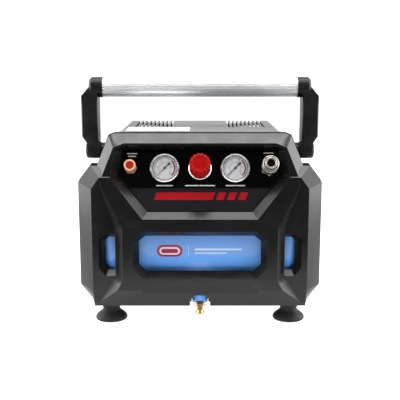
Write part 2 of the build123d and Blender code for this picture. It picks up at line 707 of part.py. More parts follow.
def discharge_tube():
    """Bent copper tube from the cylinder head to the tank's check valve."""
    z = TANK_Z + TANK_R + 17.2
    points = [(CRANK_X - HEAD_R - 0.3, MOTOR_Y, HEAD_Z + 14), (-118, MOTOR_Y, HEAD_Z + 14), (-118, 8, z + 6),
              (-60, 0, z), (-60, TANK_Y + 20.2, z)]
    return whole(pipe(points, 4.0, 10))


def outlet_tube():
    """Bent nylon tube from the pressure switch to the manifold."""
    start = PANEL.from_local_coords((116.2, ROW_UP, -34.2))
    points = [(start.X, start.Y, start.Z), (137, start.Y, start.Z), (137, TANK_Y, 228), (110.2, TANK_Y, 228)]
    return whole(pipe(points, 5.0, 9))


# ---------------------------------------------------------------- pump and motor
STATOR = (-2.0, 72.0)


def motor_x(x0, x1, radius):
    return along_x(x0, x1, radius, MOTOR_Y, MOTOR_Z)


def motor_stator():
    core = motor_x(*STATOR, 54) - motor_x(STATOR[0] - 1, STATOR[1] + 1, 32)
    for i in range(4):
        a = math.radians(45 + 90 * i)
        y, z = MOTOR_Y + 50 * math.cos(a), MOTOR_Z + 50 * math.sin(a)
        core -= along_x(STATOR[0] - 1, STATOR[1] + 1, 2.2, y, z)
    return whole(core)


def motor_windings():
    found = []
    for x0, x1 in ((STATOR[0] - 10, STATOR[0] - 0.2), (STATOR[1] + 0.2, STATOR[1] + 10)):
        found.append(whole(motor_x(x0, x1, 47) - motor_x(x0 - 1, x1 + 1, 34)))
    return Compound(children=found)


BEARINGS = ((-24.0, -14.0), (84.0, 94.0))
SHAFT_R = 8.0


def motor_rotor():
    """Rotor core, shaft and crank in one turning piece."""
    shape = motor_x(STATOR[0], STATOR[1], 31.4) + motor_x(-32, 112, SHAFT_R)
    shape += motor_x(-38, -30, 20)
    pin_z = MOTOR_Z - THROW
    shape += along_x(CRANK_X - 8, -36, 6.0, MOTOR_Y, pin_z)
    weight = motor_x(-38, -30, 30) & block(-40, -28, MOTOR_Y - 40, MOTOR_Y + 40, MOTOR_Z + 6, MOTOR_Z + 40)
    return whole(shape + weight)


def motor_bearings():
    return Compound(children=[whole(motor_x(a, b, 17.5) - motor_x(a - 1, b + 1, SHAFT_R + 0.02))
                              for a, b in BEARINGS])


def cooling_fan():
    fan = motor_x(97, 110, 13)
    for i in range(9):
        blade = Box(12, 2.2, 28)
        blade = Pos(103.5, 0, 25) * (Rot(0, 0, 32) * blade)
        fan += Pos(0, MOTOR_Y, MOTOR_Z) * (Rot(i * 40, 0, 0) * blade)
    return whole(fan - motor_x(95, 115, SHAFT_R))


def crankcase():
    """Crankcase with the front motor bracket cast on; the cylinder stands on its top."""
    case = motor_x(-74, -12.2, 46) - motor_x(-70, -25, 41)
    case += block(CRANK_X - 34, CRANK_X + 34, MOTOR_Y - 34, MOTOR_Y + 34, 156, FLANGE_Z)
    case -= upright(CRANK_X, MOTOR_Y, 130, FLANGE_Z + 1, BORE_R) & block(-80, -25, 0, 150, 100, 200)
    case -= motor_x(-70, -25, 41)
    case -= motor_x(BEARINGS[0][0], -10, 17.5) + motor_x(-30, -10, 12)
    foot = block(-70, -16, MOTOR_Y - 40, MOTOR_Y + 40, PLATE_TOP + 0.1, 80)
    foot -= block(-62, -24, MOTOR_Y - 34, MOTOR_Y + 34, PLATE_TOP + 4, 90)
    foot -= motor_x(-80, 0, 45.9)
    return whole(case + foot)


def end_bracket():
    """Far motor bracket, with its own foot on the chassis."""
    plate = motor_x(82.3, 94, 54) - motor_x(82, 95, 17.5)
    plate += block(82.3, 94, MOTOR_Y - 34, MOTOR_Y + 34, PLATE_TOP + 0.1, MOTOR_Z - 30)
    for i in range(6):
        a = math.radians(60 * i)
        plate -= along_x(80, 96, 11, MOTOR_Y + 36 * math.cos(a), MOTOR_Z + 36 * math.sin(a))
    return whole(plate)


def connecting_rod():
    """Big end, rod and cup-sealed piston in one piece, as in an oil-free pump."""
    pin_z = MOTOR_Z - THROW
    x0, x1 = CRANK_X - 7, CRANK_X + 7
    shape = along_x(x0, x1, 13, MOTOR_Y, pin_z)
    shape += block(CRANK_X - 4, CRANK_X + 4, MOTOR_Y - 8, MOTOR_Y + 8, pin_z + 8, 196)
    top = DECK_Z - 1.5 - 2 * THROW
    shape += upright(CRANK_X, MOTOR_Y, top - 9, top, PISTON_R)
    shape += upright(CRANK_X, MOTOR_Y, top - 13, top - 8, 12)
    return whole(shape - along_x(x0 - 1, x1 + 1, 6.0 + RUN, MOTOR_Y, pin_z))


def cylinder():
    sleeve = upright(CRANK_X, MOTOR_Y, FLANGE_Z + 0.1, DECK_Z, BORE_R + 3)
    for i in range(5):
        sleeve += upright(CRANK_X, MOTOR_Y, 174 + 7 * i, 176.2 + 7 * i, HEAD_R)
    sleeve += upright(CRANK_X, MOTOR_Y, FLANGE_Z + 0.1, FLANGE_Z + 4, HEAD_R)
    return whole(sleeve - upright(CRANK_X, MOTOR_Y, 150, DECK_Z + 5, BORE_R))


def cylinder_head():
    head = upright(CRANK_X, MOTOR_Y, DECK_Z + 0.1, HEAD_Z + 22, HEAD_R)
    for i in range(-3, 4):
        head -= block(CRANK_X + 9 * i - 2.4, CRANK_X + 9 * i + 2.4, MOTOR_Y - 50, MOTOR_Y + 50,
                      HEAD_Z + 20 - 2 * abs(i) - 4, HEAD_Z + 30)
    head -= upright(CRANK_X, MOTOR_Y, HEAD_Z, HEAD_Z + 8, 24)
    return whole(head)


# ---------------------------------------------------------------- electrical
ROCKER_Y = REAR_Y - 2.5
ROCKER_PIN_R = 1.6


def power_switch():
    """Rectangular switch housing set in the back wall."""
    bezel = block(SWITCH_X - 13, SWITCH_X + 13, REAR_Y + 0.05, REAR_Y + 2.5, SWITCH_Z - 17, SWITCH_Z + 17)
    case = block(SWITCH_X - 10, SWITCH_X + 10, REAR_Y - 22, REAR_Y + 0.05, SWITCH_Z - 14, SWITCH_Z + 14)
    well = block(SWITCH_X - 8, SWITCH_X + 8, REAR_Y - 9, REAR_Y + 5, SWITCH_Z - 12.4, SWITCH_Z + 12.4)
    sockets = along_x(SWITCH_X - 9.4, SWITCH_X + 9.4, ROCKER_PIN_R + RUN, ROCKER_Y, SWITCH_Z)
    return whole(bezel + case - well - sockets)


def power_rocker():
    """The rocker on its two stub pins, with its off side pressed in."""
    outline = [(ROCKER_Y - 2.0, -7), (ROCKER_Y + 3.3, -10.3), (ROCKER_Y + 4.2, 0), (ROCKER_Y + 6.7, 10.3),
               (ROCKER_Y - 2.0, 7)]
    key = Pos(0, 0, SWITCH_Z) * across(outline, SWITCH_X - 7.6, SWITCH_X + 7.6)
    return whole(key + along_x(SWITCH_X - 9.2, SWITCH_X + 9.2, ROCKER_PIN_R, ROCKER_Y, SWITCH_Z))


def cable_gland():
    """The inlet for the mains lead."""
    gland = Plane(origin=(GLAND_X, REAR_Y, GLAND_Z), z_dir=(0, 1, 0)).location
    shape = hexagon(22, 0.05, 6) + disc(6, 13.15, 9) + disc(-12, 0.1, 8.0) - disc(-13, 16, 4.0)
    return whole(gland * shape)


# ---------------------------------------------------------------- the whole object


def build():
    nodes = {
        "front_shell": front_shell(),
        "rear_shell": rear_shell(),
        "parting_seal": parting_seal(),
        "top_cover": top_cover(),
        "base_plate": base_plate(),
        "control_panel": control_panel(),
        "panel_label": panel_label(),
        "foot_screws": foot_screws(),
        "housing_screws": housing_screws(),
        "handle_tube": handle_tube(),
        "tank": tank(),
        "tank_saddles": tank_saddles(),
        "drain_valve_body": drain_valve_body(),
        "drain_valve_knob": drain_valve_knob(),
        "outlet_manifold": outlet_manifold(),
        "pressure_switch": pressure_switch(),
        "check_valve": check_valve(),
        "discharge_tube": discharge_tube(),
        "outlet_tube": outlet_tube(),
        "motor_stator": motor_stator(),
        "motor_windings": motor_windings(),
        "motor_rotor": motor_rotor(),
        "motor_bearings": motor_bearings(),
        "cooling_fan": cooling_fan(),
        "crankcase": crankcase(),
        "end_bracket": end_bracket(),
        "connecting_rod": connecting_rod(),
        "cylinder": cylinder(),
        "cylinder_head": cylinder_head(),
        "power_switch": power_switch(),
        "power_rocker": power_rocker(),
        "cable_gland": cable_gland(),
        "regulator_body": on_panel(regulator_body(), 0),
        "regulator_ring": on_panel(regulator_ring(), 0),
        "regulator_knob": on_panel(regulator_knob(), 0),
        "safety_valve_body": on_panel(safety_valve_body(), -FITTING_X),
        "safety_valve_cap": on_panel(safety_valve_cap(), -FITTING_X),
        "coupler_body": on_panel(coupler_body(), FITTING_X),
        "coupler_sleeve": on_panel(coupler_sleeve(), FITTING_X),
        "coupler_valve": on_panel(coupler_valve(), FITTING_X),
    }
    for name, (x, y) in FEET.items():
        nodes[name] = foot(x, y)
    for word, x in (("tank", -GAUGE_X), ("outlet", GAUGE_X)):
        nodes[f"{word}_gauge_case"] = on_panel(gauge_case(), x)
        nodes[f"{word}_gauge_dial"] = on_panel(gauge_dial(), x)
        nodes[f"{word}_gauge_needle"] = on_panel(gauge_needle(), x)
        nodes[f"{word}_gauge_lens"] = on_panel(gauge_lens(), x)
    for word, side in (("left", -1), ("right", 1)):
        nodes[f"{word}_handle_arm"] = handle_arm(side)
        nodes[f"{word}_arm_hub"] = arm_hub(side)
        nodes[f"{word}_pivot_boss"] = pivot_boss(side)
        nodes[f"{word}_pivot_bolt"] = pivot_bolt(side)
    return nodes


os.makedirs("parts", exist_ok=True)
for node, shape in build().items():
    export_step(shape, f"parts/{node}.step")
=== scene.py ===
import json
import math

import bmesh
import bpy
from mathutils import Matrix, Vector


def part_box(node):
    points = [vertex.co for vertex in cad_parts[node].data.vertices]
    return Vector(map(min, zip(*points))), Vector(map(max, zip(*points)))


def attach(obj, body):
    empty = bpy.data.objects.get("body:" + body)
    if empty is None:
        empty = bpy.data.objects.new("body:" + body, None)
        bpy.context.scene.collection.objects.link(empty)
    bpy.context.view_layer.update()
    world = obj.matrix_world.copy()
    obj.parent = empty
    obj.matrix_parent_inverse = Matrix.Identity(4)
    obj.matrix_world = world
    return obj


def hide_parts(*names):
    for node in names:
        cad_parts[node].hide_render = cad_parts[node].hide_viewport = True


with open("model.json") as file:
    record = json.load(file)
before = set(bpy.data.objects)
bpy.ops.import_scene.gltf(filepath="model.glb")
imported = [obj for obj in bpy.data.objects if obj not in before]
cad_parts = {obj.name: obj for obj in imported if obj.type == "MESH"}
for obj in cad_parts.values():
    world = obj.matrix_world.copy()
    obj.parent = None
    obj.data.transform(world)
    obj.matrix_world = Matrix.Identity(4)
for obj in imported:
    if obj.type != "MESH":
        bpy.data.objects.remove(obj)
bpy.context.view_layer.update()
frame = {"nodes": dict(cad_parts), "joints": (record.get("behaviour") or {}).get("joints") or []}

NODES = frame["nodes"]
JOINTS = {j["name"]: j for j in frame["joints"]}
MM = 1000                                    # millimetres in a metre

# ------------------------------------------------------------------ shaders
RANGE_SOCKETS = ("From Min", "From Max", "To Min", "To Max")
MIX_COLOUR_A, MIX_COLOUR_B, MIX_COLOUR_OUT = 6, 7, 2        # the Mix node's sockets for colours
EDGE_POINTINESS = (0.51, 0.56)               # from an almost flat face to a worn outer edge
FIXED_SOCKETS = {"metal": "Metallic", "coat": "Coat Weight", "coat_rough": "Coat Roughness", "ior": "IOR",
                 "specular": "Specular IOR Level", "transmission": "Transmission Weight", "alpha": "Alpha"}


def set_range(node, numbers):
    """Sets a Map Range node: the two ends of what comes in, then of what goes out."""
    for socket, number in zip(RANGE_SOCKETS, numbers):
        node.inputs[socket].default_value = number


class Shader:
    """A material's node tree, with short names for the nodes it is built from."""

    def __init__(self, name):
        self.material = bpy.data.materials.new(name)
        self.material.use_nodes = True
        self.tree = self.material.node_tree
        self.bsdf = self.tree.nodes["Principled BSDF"]
        self.position = self.node("ShaderNodeTexCoord").outputs["Object"]

    def node(self, kind, **settings):
        made = self.tree.nodes.new(kind)
        for key, value in settings.items():
            setattr(made, key, value)
        return made

    def link(self, a, b):
        self.tree.links.new(a, b)

    def feed(self, target, value):
        """Gives a socket another node's output, a number, or an opaque colour."""
        if hasattr(value, "links"):
            self.link(value, target)
        elif isinstance(value, (int, float)):
            target.default_value = value
        else:
            target.default_value = (*value, 1.0)

    def stretched(self, x, y, z):
        """The position, scaled for a noise that is drawn out along some axes."""
        made = self.node("ShaderNodeMapping")
        made.inputs["Scale"].default_value = (x, y, z)
        self.link(self.position, made.inputs["Vector"])
        return made.outputs["Vector"]

    def noise(self, scale, detail=3.0, rough=0.5, vector=None):
        made = self.node("ShaderNodeTexNoise")
        made.inputs["Scale"].default_value = scale
        made.inputs["Detail"].default_value = detail
        made.inputs["Roughness"].default_value = rough
        self.link(vector or self.position, made.inputs["Vector"])
        return made.outputs["Fac"]

    def cells(self, scale):
        made = self.node("ShaderNodeTexVoronoi", feature="F1")
        made.inputs["Scale"].default_value = scale
        self.link(self.position, made.inputs["Vector"])
        return made.outputs["Distance"]

    def remap(self, value, low, high, to_low, to_high):
        """Turns the range low to high into to_low to to_high, and holds what lies beyond at the ends."""
        made = self.node("ShaderNodeMapRange")
        set_range(made, (low, high, to_low, to_high))
        self.link(value, made.inputs["Value"])
        return made.outputs["Result"]

    def maths(self, operation, a, b):
        made = self.node("ShaderNodeMath", operation=operation)
        self.feed(made.inputs[0], a)
        self.feed(made.inputs[1], b)
        return made.outputs[0]

    def mix(self, factor, a, b):
        made = self.node("ShaderNodeMix", data_type="RGBA")
        self.feed(made.inputs["Factor"], factor)
        self.feed(made.inputs[MIX_COLOUR_A], a)
        self.feed(made.inputs[MIX_COLOUR_B], b)
        return made.outputs[MIX_COLOUR_OUT]

    def clouded(self, cloud, a, b, low=0.3, high=0.7, most=1.0):
        """Colour a where the cloud is thin, with at most so much of colour b where it is dense."""
        return self.mix(self.remap(cloud, low, high, 0.0, most), a, b)

    def edges(self):
        """1 on sharp outer edges, 0 on flats."""
        made = self.node("ShaderNodeNewGeometry")
        return self.remap(made.outputs["Pointiness"], *EDGE_POINTINESS, 0.0, 1.0)

    def bump(self, height, strength, distance):
        made = self.node("ShaderNodeBump")
        made.inputs["Strength"].default_value = strength
        made.inputs["Distance"].default_value = distance
        self.link(height, made.inputs["Height"])
        return made.outputs["Normal"]

    def finish(self, colour, rough, normal=None, **fixed):
        inputs = self.bsdf.inputs
        self.feed(inputs["Base Color"], colour)
        self.feed(inputs["Roughness"], rough)
        if normal is not None:
            self.link(normal, inputs["Normal"])
        for key, value in fixed.items():
            inputs[FIXED_SOCKETS[key]].default_value = value
        return self.material


def tone(colour, factor, lift=0.0):
    """A colour made paler or darker."""
    return [min(1.0, c * factor + lift) for c in colour]


def moulded(name, colour, rough, grain, edge=0.35, specular=0.27):
    """Fine-textured injection-moulded plastic with paler, rubbed edges."""
    s = Shader(name)
    base = s.clouded(s.noise(14.0, 4.0, 0.6), tone(colour, 0.88), tone(colour, 1.12))
    rub = s.maths("MULTIPLY", s.edges(), s.remap(s.noise(90.0, 5.0, 0.7), 0.35, 0.7, 0.0, edge))
    base = s.mix(rub, base, tone(colour, 1.7, 0.012))
    texture = s.maths("ADD", s.maths("MULTIPLY", s.cells(1400.0), 0.6), s.noise(700.0, 2.0))
    roughness = s.remap(s.noise(45.0, 4.0, 0.65), 0.25, 0.75, rough - 0.05, rough + 0.07)
    return s.finish(base, roughness, s.bump(texture, grain, 0.00004), specular=specular)


def rubber(name, colour):
    """Matt rubber with pale dust in patches."""
    s = Shader(name)
    base = s.clouded(s.noise(60.0, 6.0, 0.7), colour, tone(colour, 1.8, 0.008), 0.45, 0.75, 0.35)
    roughness = s.remap(s.noise(80.0), 0.3, 0.7, 0.55, 0.72)
    return s.finish(base, roughness, s.bump(s.noise(500.0, 3.0), 0.25, 0.0002), specular=0.25)


def metal(name, colour, rough, scratch, tarnish, brush=(1, 1, 1)):
    """Bare metal with fine scratches, drawn out along an axis where brush is small, and uneven polish."""
    s = Shader(name)
    lines = s.noise(260.0, 4.0, 0.6, s.stretched(*brush))
    cloud = s.noise(35.0, 5.0, 0.65)
    base = s.clouded(cloud, colour, tone(colour, 1 - tarnish), 0.35)
    base = s.clouded(lines, base, tone(colour, 1.12), most=0.25)
    roughness = s.maths("ADD", s.remap(lines, 0.25, 0.75, rough - 0.05, rough + 0.08),
                        s.remap(cloud, 0.3, 0.7, -0.02, 0.05))
    return s.finish(base, roughness, s.bump(lines, scratch, 0.00006), metal=1.0)


def cast(name, colour):
    """Rough sand- or die-cast metal."""
    s = Shader(name)
    cloud = s.noise(60.0, 5.0, 0.6)
    base = s.clouded(cloud, colour, tone(colour, 0.72))
    height = s.maths("ADD", s.noise(900.0, 4.0), s.maths("MULTIPLY", s.noise(160.0, 3.0), 0.7))
    return s.finish(base, s.remap(cloud, 0.3, 0.7, 0.42, 0.6), s.bump(height, 0.4, 0.00025), metal=0.9)


def painted(name, colour, rough, coat, ramp=None):
    """Satin paint with a faint orange-peel surface.

    Its last argument gives two heights in the object: above the first the colour is kept, below the second it
    is painted palest. This is a painted highlight standing in for light thrown up from the floor, not a
    change in the paint."""
    s = Shader(name)
    base = s.clouded(s.noise(9.0, 3.0, 0.5), tone(colour, 0.94), tone(colour, 1.05))
    if ramp:
        # painted highlight: the colour is made paler towards the bottom of the object, standing in for light
        # from the floor
        split = s.node("ShaderNodeSeparateXYZ")
        s.link(s.position, split.inputs["Vector"])
        base = s.clouded(split.outputs["Z"], base, tone(colour, 2.2), *ramp)
    roughness = s.remap(s.noise(70.0, 4.0), 0.3, 0.7, rough - 0.04, rough + 0.05)
    return s.finish(base, roughness, s.bump(s.noise(420.0, 2.0), 0.12, 0.0002), coat=coat, coat_rough=0.12)


def gloss(name, colour, rough, coat, specular=0.5):
    """Smooth glossy plastic with faint handling marks."""
    s = Shader(name)
    base = s.clouded(s.noise(30.0, 4.0, 0.6), tone(colour, 0.9), tone(colour, 1.08))
    smear = s.remap(s.noise(120.0, 5.0, 0.7), 0.4, 0.75, rough, rough + 0.14)
    return s.finish(base, smear, s.bump(s.noise(300.0, 2.0), 0.05, 0.0001), coat=coat, coat_rough=0.08,
                    specular=specular)


def printed(name, colour):
    """Printing ink, slightly uneven."""
    s = Shader(name)
    base = s.clouded(s.noise(700.0, 4.0), colour, tone(colour, 0.86), 0.35)
    roughness = s.remap(s.noise(300.0), 0.3, 0.7, 0.32, 0.45)
    return s.finish(base, roughness, s.bump(s.noise(900.0), 0.06, 0.00005), specular=0.2)


def clear(name):
    """Clear glass or plastic with faint smears."""
    s = Shader(name)
    smear = s.remap(s.noise(90.0, 5.0, 0.7), 0.4, 0.8, 0.015, 0.06)
    return s.finish((0.96, 0.98, 0.98), smear, ior=1.45, transmission=1.0, alpha=0.35, specular=0.5)


MAT = {
    "shell": moulded("shell_plastic", (0.0042, 0.0042, 0.0043), rough=0.22, grain=0.22),
    "cover": moulded("cover_plastic", (0.060, 0.061, 0.062), rough=0.40, grain=0.25),
    "arm": moulded("handle_plastic", (0.0030, 0.0030, 0.0031), rough=0.36, grain=0.22, specular=0.15),
    "seal": rubber("seal_rubber", (0.010, 0.010, 0.010)),
    "foot": rubber("foot_rubber", (0.006, 0.0055, 0.005)),
    "panel": moulded("panel_plastic", (0.004, 0.004, 0.0045), rough=0.45, grain=0.15, edge=0.1, specular=0.1),
    "label": gloss("label_film", (0.0008, 0.0008, 0.0009), rough=0.2, coat=0.0, specular=0.06),
    # the tank's paint is painted paler towards its bottom, a painted highlight for light thrown up from the
    # floor
    "tank": painted("tank_paint", (0.064, 0.178, 0.43), rough=0.34, coat=0.2, ramp=(0.108, 0.080)),
    "alloy": metal("handle_alloy", (0.63, 0.64, 0.65), rough=0.43, scratch=0.03, tarnish=0.05,
                   brush=(0.0005, 1, 1)),
    "chrome": metal("chrome", (0.62, 0.62, 0.63), rough=0.12, scratch=0.03, tarnish=0.06),
    "bezel": metal("bezel_chrome", (0.84, 0.84, 0.85), rough=0.20, scratch=0.02, tarnish=0.05),
    "nickel": metal("nickel", (0.30, 0.28, 0.25), rough=0.24, scratch=0.08, tarnish=0.14, brush=(1, 1, 0.3)),
    "brass": metal("brass", (0.60, 0.42, 0.20), rough=0.22, scratch=0.08, tarnish=0.18, brush=(1, 1, 0.4)),
    "steel": metal("steel", (0.40, 0.405, 0.41), rough=0.30, scratch=0.12, tarnish=0.18, brush=(0.2, 1, 1)),
    "zinc": metal("zinc_plate", (0.34, 0.345, 0.35), rough=0.42, scratch=0.1, tarnish=0.25),
    "copper": metal("copper", (0.90, 0.52, 0.36), rough=0.24, scratch=0.06, tarnish=0.2),
    "winding": metal("winding_enamel", (0.62, 0.24, 0.10), rough=0.34, scratch=0.5, tarnish=0.3,
                     brush=(0.06, 1, 1)),
    "cast": cast("cast_alloy", (0.34, 0.345, 0.35)),
    "red": gloss("knob_red", (0.20, 0.0006, 0.0008), rough=0.42, coat=0.0, specular=0.07),
    "cap": gloss("cap_red", (0.20, 0.002, 0.0015), rough=0.38, coat=0.0, specular=0.10),
    "valve_brass": metal("valve_brass", (0.84, 0.50, 0.30), rough=0.50, scratch=0.04, tarnish=0.1),
    "switch": gloss("switch_black", (0.012, 0.012, 0.013), rough=0.3, coat=0.1),
    "fan": moulded("fan_plastic", (0.52, 0.52, 0.50), rough=0.4, grain=0.2),
    "dial": printed("dial_white", (0.42, 0.42, 0.43)),
    "ink_black": printed("ink_black", (0.012, 0.012, 0.014)),
    "ink_red": printed("ink_red", (0.17, 0.004, 0.010)),
    "caption": printed("caption_ink", (0.34, 0.34, 0.34)),
    "ink_grey": printed("ink_grey", (0.35, 0.36, 0.37)),
    "badge_red": printed("badge_red", (0.24, 0.003, 0.010)),
    "badge_white": printed("badge_white", (0.34, 0.42, 0.54)),
    "stripe_red": printed("stripe_red", (0.20, 0.001, 0.004)),
    "label_paper": printed("label_paper", (0.80, 0.80, 0.79)),
    "brass_dull": metal("brass_dull", (0.30, 0.19, 0.08), rough=0.32, scratch=0.08, tarnish=0.25),
    "needle": painted("needle_black", (0.010, 0.010, 0.011), rough=0.35, coat=0.0),
    "glass": clear("gauge_glass"),
    "dark": rubber("seal_dark", (0.006, 0.006, 0.006)),
}

# ------------------------------------------------------------------ CAD nodes
DRESSES = {
    "shell": "front_shell rear_shell left_pivot_boss right_pivot_boss",
    "cover": "top_cover",
    "seal": "parting_seal",
    "panel": "control_panel",
    "label": "panel_label",
    "arm": "left_handle_arm right_handle_arm left_arm_hub right_arm_hub",
    "alloy": "handle_tube",
    "steel": "foot_screws housing_screws left_pivot_bolt right_pivot_bolt "
             "motor_stator motor_rotor motor_bearings",
    "tank": "tank",
    "zinc": "base_plate tank_saddles",
    "brass": "drain_valve_body drain_valve_knob check_valve regulator_body",
    "valve_brass": "safety_valve_body",
    "cast": "outlet_manifold crankcase end_bracket connecting_rod cylinder cylinder_head",
    "switch": "pressure_switch power_switch cable_gland outlet_tube",
    "copper": "discharge_tube",
    "winding": "motor_windings",
    "fan": "cooling_fan",
    "red": "power_rocker",
    "bezel": "tank_gauge_case outlet_gauge_case",
    "needle": "tank_gauge_needle outlet_gauge_needle",
    "glass": "tank_gauge_lens outlet_gauge_lens",
}
WELD_DISTANCE = 0.00001
FLAT_ANGLE, BEVEL_ANGLE = 0.6, 24.0          # degrees: faces are joined below, edges rounded above


def dress(material, *names):
    """Gives CAD nodes a material in place of the one they came with."""
    for name in names:
        o = NODES[name]
        o.data.materials.clear()
        o.data.materials.append(MAT[material])


def soften(width, *names, segments=2):
    """Rounds a CAD node's edges with modifiers only; its mesh stays as it is."""
    for name in names:
        o = NODES[name]
        weld = o.modifiers.new("weld", "WELD")
        weld.merge_threshold = WELD_DISTANCE
        flat = o.modifiers.new("flat", "DECIMATE")
        flat.decimate_type = "DISSOLVE"
        flat.angle_limit = math.radians(FLAT_ANGLE)
        bevel = o.modifiers.new("bevel", "BEVEL")
        bevel.width = width
        bevel.segments = segments
        bevel.limit_method = "ANGLE"
        bevel.angle_limit = math.radians(BEVEL_ANGLE)
        bevel.use_clamp_overlap = True
        bevel.harden_normals = False
        normals = o.modifiers.new("normals", "WEIGHTED_NORMAL")
        normals.keep_sharp = True
        for face in o.data.polygons:
            face.use_smooth = True


for material, names in DRESSES.items():
    dress(material, *names.split())

soften(0.0016, "front_shell", segments=3)
soften(0.0014, "rear_shell", "left_handle_arm", "right_handle_arm", segments=3)
soften(0.0009, "top_cover", "power_rocker", "power_switch")
soften(0.0004, "left_pivot_boss", "right_pivot_boss", "left_pivot_bolt", "right_pivot_bolt",
       "safety_valve_body", "drain_valve_body", "drain_valve_knob", "housing_screws", "cable_gland")

# ------------------------------------------------------------------ panel frame
ROW = Vector(JOINTS["regulator_turn"]["pos_m"])
OUT = Vector(JOINTS["regulator_turn"]["axis"]).normalized()
ACROSS = Vector((1, 0, 0))
UP = OUT.cross(ACROSS).normalized()
GAUGE_X = abs(JOINTS["tank_needle_turn"]["pos_m"][0])
FITTING_X = sum(corner.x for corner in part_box("coupler_sleeve")) / 2


def panel_matrix(x, out=0.0):
    """The frame of a place on the control panel: x to the right, y up the slope, z outwards."""
    m = Matrix((ACROSS, UP, OUT)).transposed().to_4x4()
    m.translation = ROW + ACROSS * x + OUT * out
    return m


# ------------------------------------------------------------------ mesh helpers
ON_AXIS = 1e-6                               # a radius in mm below which a ring is a single point


def piece(name, bm, materials, body, matrix=None, smooth=True, replaces=()):
    """Turns a bmesh into a scene object that rides on a body."""
    mesh = bpy.data.meshes.new(name)
    if matrix is not None:
        bm.transform(matrix)
    bmesh.ops.recalc_face_normals(bm, faces=bm.faces)
    bm.to_mesh(mesh)
    bm.free()
    for m in materials:
        mesh.materials.append(MAT[m])
    for face in mesh.polygons:
        face.use_smooth = smooth
    o = bpy.data.objects.new(name, mesh)
    bpy.context.scene.collection.objects.link(o)
    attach(o, body)
    if replaces:
        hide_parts(*replaces)


def lathe(profile, steps=96, bm=None, material=0, wave=None):
    """A body of revolution from (radius, height) points in mm, closed on the axis where the radius is 0.

    wave(angle, radius, height) may return another radius, for grips and knurls."""
    bm = bm or bmesh.new()
    rings = []
    for r, z in profile:
        if r < ON_AXIS:
            rings.append([bm.verts.new((0, 0, z / MM))])
            continue
        ring = []
        for i in range(steps):
            a = 2 * math.pi * i / steps
            q = wave(a, r, z) if wave else r
            ring.append(bm.verts.new((q * math.cos(a) / MM, q * math.sin(a) / MM, z / MM)))
        rings.append(ring)
    for a, b in zip(rings, rings[1:]):
        if len(a) == 1 and len(b) == 1:
            continue
        for i in range(steps):
            j = (i + 1) % steps
            if len(a) == 1:
                f = bm.faces.new((a[0], b[i], b[j]))
            elif len(b) == 1:
                f = bm.faces.new((a[i], b[0], a[j]))
            else:
                f = bm.faces.new((a[i], b[i], b[j], a[j]))
            f.material_index = material
    return bm


def rounded(points, radius, steps=4):
    """Rounds the corners of an open (radius, height) profile."""
    out = [points[0]]
    for before, here, after in zip(points, points[1:], points[2:]):
        a, b, c = Vector(before), Vector(here), Vector(after)
        t = min(radius, (a - b).length * 0.45, (c - b).length * 0.45)
        p, q = b + (a - b).normalized() * t, b + (c - b).normalized() * t
        for i in range(steps + 1):
            u = i / steps
            v = p * (1 - u) ** 2 + b * 2 * u * (1 - u) + q * u * u
            out.append((v.x, v.y))
    out.append(points[-1])
    return out


def bar(bm, x0, x1, y0, y1, z0, z1, material=0, shear=0.0):
    """A small raised block in mm; shear leans its top edge sideways."""
    corners = [(x0, y0), (x1, y0), (x1 + shear, y1), (x0 + shear, y1)]
    low = [bm.verts.new((x / MM, y / MM, z0 / MM)) for x, y in corners]
    high = [bm.verts.new((x / MM, y / MM, z1 / MM)) for x, y in corners]
    faces = [bm.faces.new(high)]
    for i in range(4):
        j = (i + 1) % 4
        faces.append(bm.faces.new((low[i], low[j], high[j], high[i])))
    faces.append(bm.faces.new(low[::-1]))
    for f in faces:
        f.material_index = material


# ------------------------------------------------------------------ gauges
# Lengths in mm; angles in degrees, counterclockwise from the right. The scale runs over the top of the dial,
# from lower left to lower right.
DIAL_PLATE = [(1.35, 2.7), (18.25, 2.7), (18.25, 3.0), (17.9, 3.08), (1.35, 3.08)]
DIAL_INKS = ["dial", "ink_black", "ink_red", "ink_grey"]
PAPER, BLACK, RED, GREY = range(4)
PRINT_LOW, PRINT_HIGH = 3.04, 3.14
NUMERAL_DEPTH = 0.05
SCALE_START, SCALE_SWEEP = 225.0, -270.0
MARKS = ("0", "2", "4", "6", "8", "10")
TICKS_PER_MARK = 5
LONG_TICK, SHORT_TICK = (12.9, 0.42), (14.1, 0.22)           # inner radius and half width
TICK_END = 15.5
RED_FROM = 0.66                              # share of the scale where the red zone starts
DOTS, DOT_HALF_ANGLE = 28, 1.1


def arc_band(bm, radii, angles, material, steps=48):
    """A raised arc of print on a dial between two radii in mm and two angles in degrees."""
    (r0, r1), (a0, a1) = radii, angles
    rows = []
    for i in range(steps + 1):
        a = math.radians(a0 + (a1 - a0) * i / steps)
        c, s = math.cos(a), math.sin(a)
        rows.append([bm.verts.new((r * c / MM, r * s / MM, z / MM))
                     for r, z in ((r0, PRINT_LOW), (r0, PRINT_HIGH), (r1, PRINT_HIGH), (r1, PRINT_LOW))])
    for a, b in zip(rows, rows[1:]):
        for i in range(3):
            f = bm.faces.new((a[i], b[i], b[i + 1], a[i + 1]))
            f.material_index = material


